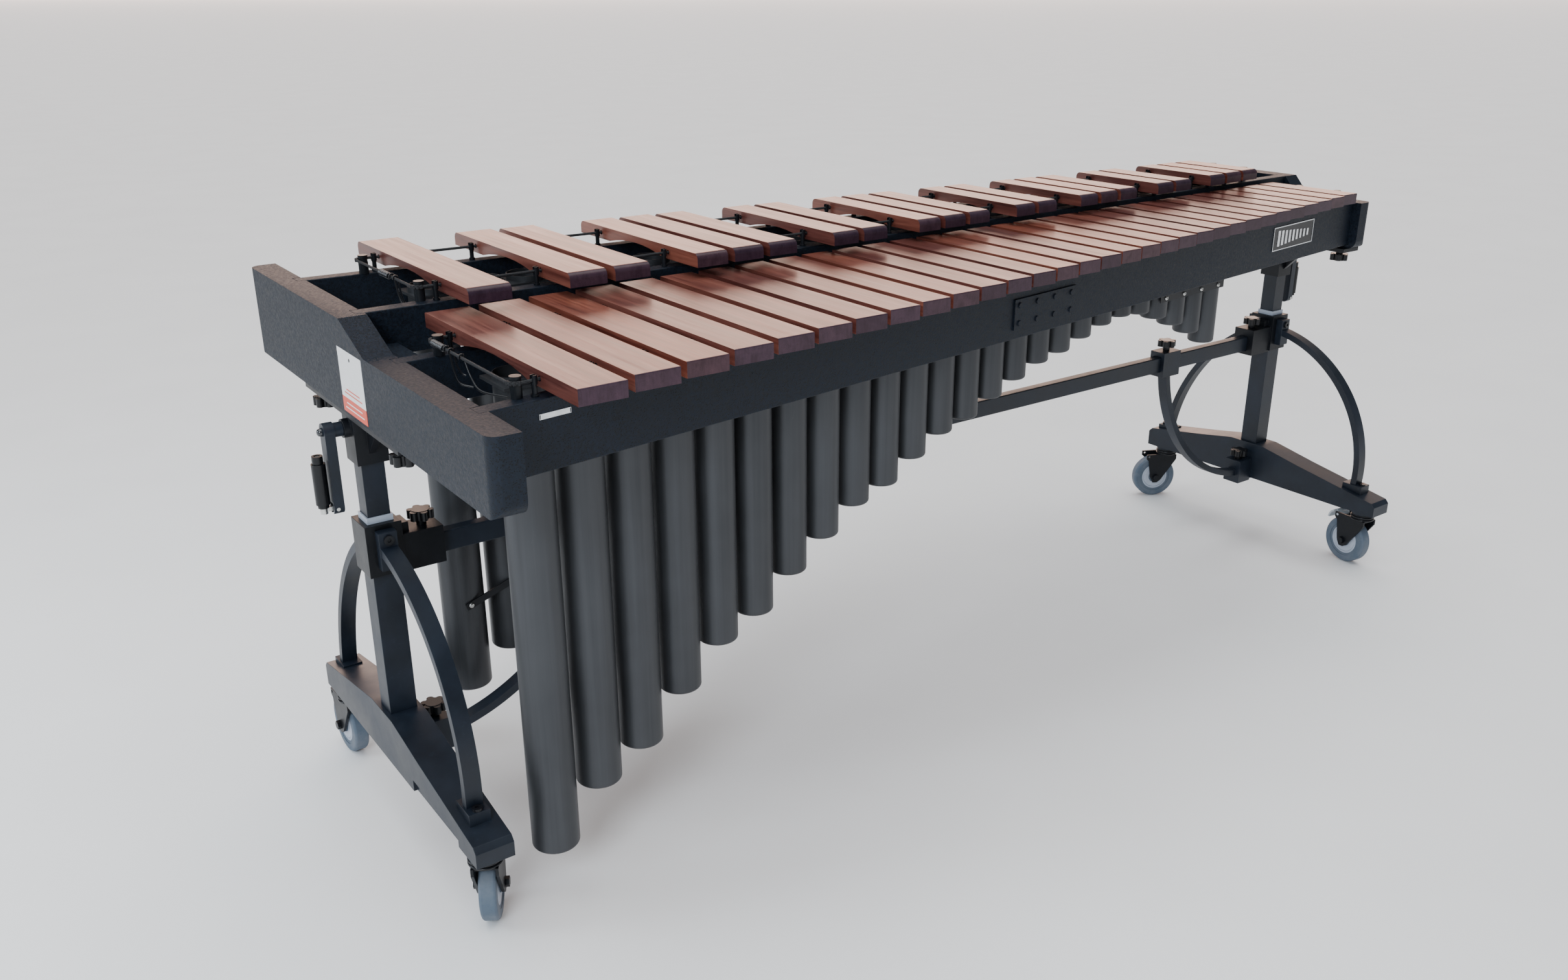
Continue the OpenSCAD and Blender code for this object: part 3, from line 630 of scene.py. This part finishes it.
def rail_emblem(bm):
    """Thin silver frame with a generic row of falling bars."""
    x0, x1, z0, z1 = 0.686, 0.842, RAIL_HI.z - 0.058, RAIL_HI.z - 0.013
    t, back = 0.0016, 0.0006
    rail_plate(bm, x0, x1, z0, z1, back, 1)
    for a, b, c, d in ((x0, x1, z0, z0 + t), (x0, x1, z1 - t, z1), (x0, x0 + t, z0 + t, z1 - t),
            (x1 - t, x1, z0 + t, z1 - t)):
        rail_plate(bm, a, b, c, d, 0.0008, 0, back)
    middle = 0.5 * (z0 + z1)
    for k in range(9):
        half = 0.0150 - 0.00105 * k
        x = x0 + 0.017 + 0.0142 * k
        rail_plate(bm, x, x + 0.0085 - 0.0003 * k, middle - half, middle + half, 0.0007, 0, back)


new_piece("end_label", end_label, (WHITE_CARD, RED_CARD, NYLON), "top")
new_piece("rail_sticker", rail_sticker, (SILVER, SCREW), "top")
new_piece("rail_emblem", rail_emblem, (SILVER, PLASTIC), "top")

# ---------- wires, straps and screws ----------

NATURAL_BOXES = island_boxes("natural_bars")
ACCIDENTAL_BOXES = island_boxes("accidental_bars")
TUBE_SHARE = 0.435   # a tube's outer radius over the distance between its bar and the next
HEAD_R = 0.0042
OUTWARD = Vector((0, -1, 0))


def cord_crossing(cord, node, y):
    """Where a cord crosses between its two runs, at the low end."""
    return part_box(cord)[0].x + 0.0023, y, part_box(node)[1].z - 0.010


# the crossing that a group hangs from, then (distance in front, drop, reach, side) of each wire
HANGERS = (
    (cord_crossing("natural_cord", "natural_bars", -0.112),
        ((0.032, 0.046, -0.020, 0.022), (0.046, 0.030, -0.006, 0.014), (0.078, 0.040, -0.056, 0.030))),
    (cord_crossing("accidental_cord", "accidental_bars", 0.160),
        ((0.026, 0.044, -0.020, 0.022), (0.040, 0.040, -0.004, 0.016))),
)


def hanger(bm, x, y, z, drop, reach, side):
    """Bent wire that hangs from a cord's low-end crossing down to the tubes below it."""
    hook = ((x - 0.0032, y, z - 0.001), (x - 0.0022, y, z + 0.0035), (x + 0.0022, y, z + 0.0035),
        (x + 0.0036, y, z - 0.003), (x + 0.006, y + 0.2 * reach, z - 0.6 * drop),
        (x + 0.010, y + 0.5 * reach, z - 0.9 * drop), (x + side, y + reach, z - drop))
    wire(bm, hook, 0.0013, 5, 10)


def hangers(bm):
    for (x, y, z), wires in HANGERS:
        for ahead, drop, reach, side in wires:
            hanger(bm, x, y - ahead, z, drop, reach, side)


def middle_of(pair):
    return 0.5 * (pair[0] + pair[1])


def tube_radius(i):
    """Outer radius of the tube under natural i."""
    return TUBE_SHARE * (NATURAL_BOXES[i + 1][0].x - NATURAL_BOXES[i][0].x)


def screwed_strip(bm, p, q, up, thick, spots):
    """A flat strip from p to q that faces the player, with a screw at each spot."""
    slab(bm, (p - up, q - up, q + up, p + up), thick * OUTWARD, 0)
    for spot in spots:
        screw(bm, spot + thick * OUTWARD, OUTWARD, HEAD_R, 1)


def tube_strap(bm):
    """Flat bar that ties the two longest accidental tubes, with a screw at each."""
    first = middle_of(ACCIDENTAL_BOXES[0])
    second_x = 0.5 * (NATURAL_BOXES[1][1].x + NATURAL_BOXES[2][0].x)
    y = first.y - tube_radius(0) - 0.0004
    p, q = Vector((first.x - 0.008, y, 0.303)), Vector((second_x + 0.006, y - 0.001, 0.333))
    along = (q - p).normalized()
    up = Vector((-along.z, 0, along.x)) * 0.0055
    screwed_strip(bm, p, q, up, 0.002, (p + 0.008 * along, q - 0.008 * along))


def bank_strip(bm):
    """Strip with screws along the upper ends of the visible tubes near the high end."""
    spots = []
    for i in range(21, 25):
        c = middle_of(NATURAL_BOXES[i])
        spots.append(Vector((c.x, c.y - tube_radius(i) - 0.0006, 0.651)))
    first = spots[0] + (spots[0] - spots[1]) * 0.3
    last = spots[-1] + (spots[-1] - spots[-2]) * 0.35
    screwed_strip(bm, first, last, Vector((0, 0, 0.007)), 0.0018, spots)


new_piece("cord_hangers", hangers, (SCREW,), "top", 60)
new_piece("tube_strap", tube_strap, (CAST, ZINC), "top")
new_piece("bank_strip", bank_strip, (CAST, ZINC), "top")

# ---------- stand details ----------

RING_HEIGHTS = (0.1088, 0.1145)
CRANK_Y = 0.077
HUB_COVER = ((0.0146, 0.0060), (0.0338, 0.0060), (0.0344, 0.0094), (0.0332, 0.0103), (0.0276, 0.0107),
    (0.0268, 0.0095), (0.0258, 0.0107), (0.0152, 0.0118), (0.0146, 0.0116), (0.0146, 0.0060))
BOLT_HEAD = ((0, -0.001), (0.0055, -0.001), (0.0055, 0.002), (0.0045, 0.0042), (0.0025, 0.0054), (0, 0.0056))


def end_block(bm):
    """Block inside the low end panel, between the two inner rails, that stiffens the corner."""
    x0, x1 = PANEL_HI.x, PANEL_HI.x + 0.038
    y0, y1 = -0.069, 0.034
    tall = 0.052
    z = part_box("natural_inner_rail")[1].z - 0.010 - tall
    slab(bm, ((x0, y0, z), (x1, y0, z), (x1, y1, z), (x0, y1, z)), (0, 0, tall))


def swivel_rings(bm, stem):
    """Two rounded races round a caster's stem."""
    for z in RING_HEIGHTS:
        torus(bm, (stem[0], stem[1], z), (0, 0, 1), 0.0222, 0.0021)


def hub_covers(bm, centre, axis):
    """A dished cover with a groove on each side of a wheel."""
    for side in (-1, 1):
        lathe(bm, centre, Vector(axis) * side, HUB_COVER, 48)


def guide_bush(bm, post, top):
    """Square nylon liner that stands out of the collar round the inner post."""
    low, high = post
    x, y = 0.5 * (low.x + high.x), 0.5 * (low.y + high.y)
    inner, outer, tall = 0.0163, 0.0184, 0.009
    corners = ((-1, -1), (1, -1), (1, 1), (-1, 1))
    rings = []
    for half, h in ((inner, 0.0), (outer, 0.0), (outer, tall), (inner, tall)):
        rings.append([bm.verts.new((x + a * half, y + b * half, top + h)) for a, b in corners])
    skin(bm, rings + rings[:1], len(corners))


def crank_bolt(bm, key):
    """Domed bolt head on the outer end of a crank's shaft."""
    low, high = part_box("crank_" + key)
    side, x = (-1, low.x) if key == "low" else (1, high.x)
    z = JOINTS["crank_turn_" + key]["pos_m"][2]
    lathe(bm, (x, CRANK_Y, z), (side, 0, 0), BOLT_HEAD)


new_piece("end_block_low", end_block, (SPECKLED,), "top")
for key in ("fl", "fr", "bl", "br"):
    stem, roll = JOINTS["swivel_" + key]["pos_m"], JOINTS["roll_" + key]
    new_piece("swivel_rings_" + key, lambda bm: swivel_rings(bm, stem), (SCREW,),
        "caster_fork_" + key)
    new_piece("hub_covers_" + key, lambda bm: hub_covers(bm, roll["pos_m"], roll["axis"]), (HUB,),
        "caster_wheel_" + key)
for key in ("low", "high"):
    post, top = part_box("inner_post_" + key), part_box("collar_" + key)[1].z
    new_piece("guide_bush_" + key, lambda bm: guide_bush(bm, post, top), (HUB,), "stand")
    new_piece("crank_bolt_" + key, lambda bm: crank_bolt(bm, key), (SLEEVE,),
        "crank_" + key)

# ---------- stage ----------

FLOOR_HALF = 220.0
SKY, SKY_STRENGTH = (0.86, 0.93, 1.0, 1), 0.22


def stage():
    """Pale floor and a soft grey-blue world."""
    floor_mesh = bpy.data.meshes.new("floor")
    s = FLOOR_HALF
    floor_mesh.from_pydata([(-s, -s, 0), (s, -s, 0), (s, s, 0), (-s, s, 0)], [], [(0, 1, 2, 3)])
    floor = bpy.data.objects.new("floor", floor_mesh)
    paint = Paint("floor_paint", 0.85, spec=0.2)
    soft = paint.noise(paint.place(), 3.0, 3.0)
    paint.set("Base Color", paint.ramp(soft, (0.3, (0.88, 0.88, 0.88)), (0.7, (0.91, 0.91, 0.91))))
    floor_mesh.materials.append(paint.mat)
    bpy.context.scene.collection.objects.link(floor)
    world = bpy.data.worlds.new("world")
    world.use_nodes = True
    ground = world.node_tree.nodes["Background"]
    ground.inputs["Color"].default_value = SKY
    ground.inputs["Strength"].default_value = SKY_STRENGTH
    bpy.context.scene.world = world


def light(name, at, aim, size, power, colour):
    data = bpy.data.lights.new(name, "AREA")
    data.shape = "RECTANGLE"
    data.size, data.size_y = size
    data.energy = power
    data.color = colour
    lamp = bpy.data.objects.new(name, data)
    lamp.location = at
    lamp.rotation_euler = (Vector(aim) - Vector(at)).to_track_quat("-Z", "Y").to_euler()
    bpy.context.scene.collection.objects.link(lamp)


def sun(power, spread_deg, colour):
    """Soft light from straight above, the same over the whole floor."""
    data = bpy.data.lights.new("overhead", "SUN")
    data.energy = power
    data.angle = math.radians(spread_deg)
    data.color = colour
    bpy.context.scene.collection.objects.link(bpy.data.objects.new("overhead", data))


stage()
light("key", (-3.0, -2.2, 2.2), (-0.4, 0, 0.4), (1.2, 1.2), 75, (0.84, 0.92, 1.0))
light("back", (85.5, 115.2, 28.65), (0, 0, 0.9), (225.0, 52.5), 180000, (1.0, 0.70, 0.56))
sun(3.0, 70, (0.95, 0.98, 1.0))
light("side", (-3.4, 1.2, 1.5), (-0.9, 0, 0.5), (0.9, 1.4), 34, (0.80, 0.90, 1.0))
